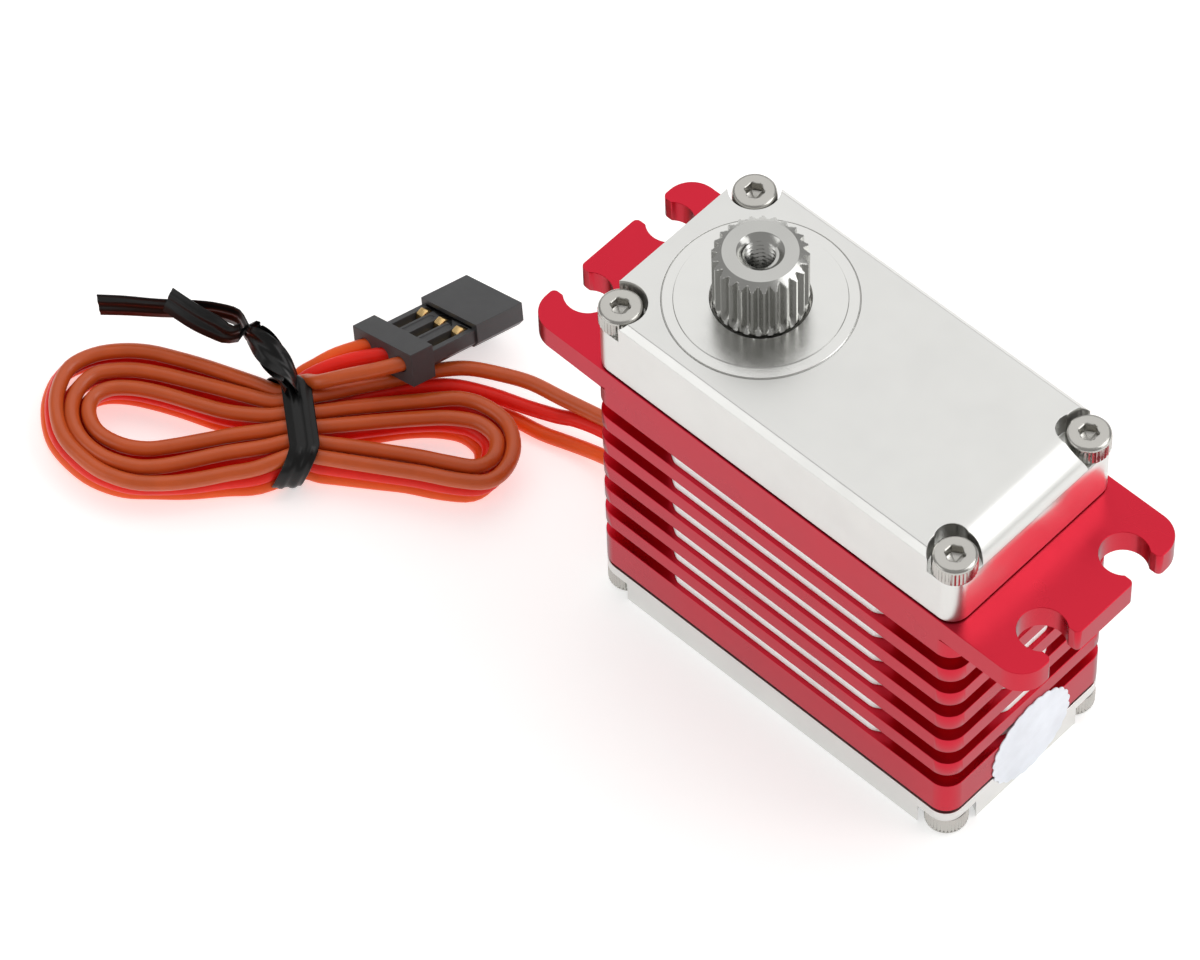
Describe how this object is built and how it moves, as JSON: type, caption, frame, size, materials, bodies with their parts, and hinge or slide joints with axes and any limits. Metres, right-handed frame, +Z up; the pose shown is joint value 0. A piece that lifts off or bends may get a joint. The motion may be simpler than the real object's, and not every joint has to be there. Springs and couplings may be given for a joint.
{
  "type": "servo motor",
  "caption": "Servo motor in a grooved metal case with open mounting lugs, a splined output shaft and a three-wire lead tied in a hank with a plug on its end.",
  "frame": {"origin": "middle of the case's bottom face", "axes": "+Z up along the output shaft, +X along the 40 mm side away from the output shaft, +Y across the case"},
  "size_m": [0.0978, 0.0446, 0.0453],
  "materials": {
    "red_anodised": "red anodised aluminium, satin",
    "machined_aluminium": "finely machined, bare",
    "stainless_steel": "bright",
    "gear_steel": "hardened, satin",
    "black_rubber": "matt",
    "black_plastic": "moulded, satin",
    "label_white": "printed paper, blank",
    "board_green": "solder mask",
    "chip_black": "moulded",
    "magnet_dark": "nickel plated",
    "lamination_steel": "laminated",
    "copper": "enamelled copper",
    "wire_brown": "PVC insulation",
    "wire_red": "PVC insulation",
    "wire_orange": "PVC insulation",
    "gold": "gold plated"
  },
  "bodies": {
    "case": {"cable_grommet": "black_rubber", "circuit_board": "board_green", "connector_housing": "black_plastic", "contact_left": "gold", "contact_middle": "gold", "contact_right": "gold", "end_label": "label_white", "front_motor_bearing": "stainless_steel", "gear_axle": "stainless_steel", "lead_hank": "wire_brown", "lower_cover": "machined_aluminium", "lower_gasket": "black_rubber", "lower_output_bearing": "stainless_steel", "lower_screw_1": "stainless_steel", "lower_screw_2": "stainless_steel", "lower_screw_3": "stainless_steel", "lower_screw_4": "stainless_steel", "microcontroller": "chip_black", "middle_case": "red_anodised", "motor_can": "machined_aluminium", "motor_driver": "chip_black", "motor_end_cap": "black_plastic", "motor_lead_1": "copper", "motor_lead_2": "copper", "motor_lead_3": "copper", "motor_screw_1": "stainless_steel", "motor_screw_2": "stainless_steel", "motor_winding": "copper", "plug_lead_brown": "wire_brown", "plug_lead_orange": "wire_orange", "plug_lead_red": "wire_red", "potentiometer_body": "black_plastic", "rear_motor_bearing": "stainless_steel", "servo_lead_brown": "wire_brown", "servo_lead_orange": "wire_orange", "servo_lead_red": "wire_red", "stator_ring": "lamination_steel", "storage_capacitor": "machined_aluminium", "twist_tie": "black_plastic", "upper_cover": "machined_aluminium", "upper_gasket": "black_rubber", "upper_output_bearing": "stainless_steel", "upper_screw_1": "stainless_steel", "upper_screw_2": "stainless_steel", "upper_screw_3": "stainless_steel", "upper_screw_4": "stainless_steel"},
    "output": {"output_shaft": "gear_steel", "output_gear": "gear_steel", "potentiometer_shaft": "stainless_steel"},
    "third_gear": {"third_wheel": "gear_steel", "third_pinion": "gear_steel"},
    "second_gear": {"second_wheel": "gear_steel", "second_pinion": "gear_steel"},
    "first_gear": {"first_wheel": "gear_steel", "first_pinion": "gear_steel"},
    "rotor": {"rotor_shaft": "stainless_steel", "rotor_magnet": "magnet_dark", "motor_pinion": "gear_steel"}
  },
  "joints": [
    {"name": "output_turn", "type": "hinge", "parent": "case", "child": "output", "pos_m": [-0.0101, 0, 0.0395], "axis": [0, 0, 1], "range_deg": [-60, 60]},
    {"name": "third_gear_turn", "type": "hinge", "parent": "case", "child": "third_gear", "pos_m": [0.0004, 0, 0.034], "axis": [0, 0, 1], "range_deg": [-194.8, 194.8]},
    {"name": "second_gear_turn", "type": "hinge", "parent": "case", "child": "second_gear", "pos_m": [-0.0101, 0, 0.0325], "axis": [0, 0, 1], "range_deg": [-453.2, 453.2]},
    {"name": "first_gear_turn", "type": "hinge", "parent": "case", "child": "first_gear", "pos_m": [0.0004, 0, 0.0312], "axis": [0, 0, 1], "range_deg": [-1527.2, 1527.2]},
    {"name": "rotor_turn", "type": "hinge", "parent": "case", "child": "rotor", "pos_m": [0.00985, 0, 0.02], "axis": [0, 0, 1], "range_deg": [-8089.7, 8089.7]}
  ],
  "couplings": [
    {"joint": "third_gear_turn", "follows": "output_turn", "ratio": -3.1667},
    {"joint": "second_gear_turn", "follows": "output_turn", "ratio": 7.3889},
    {"joint": "first_gear_turn", "follows": "output_turn", "ratio": -24.938},
    {"joint": "rotor_turn", "follows": "output_turn", "ratio": 132.17}
  ]
}
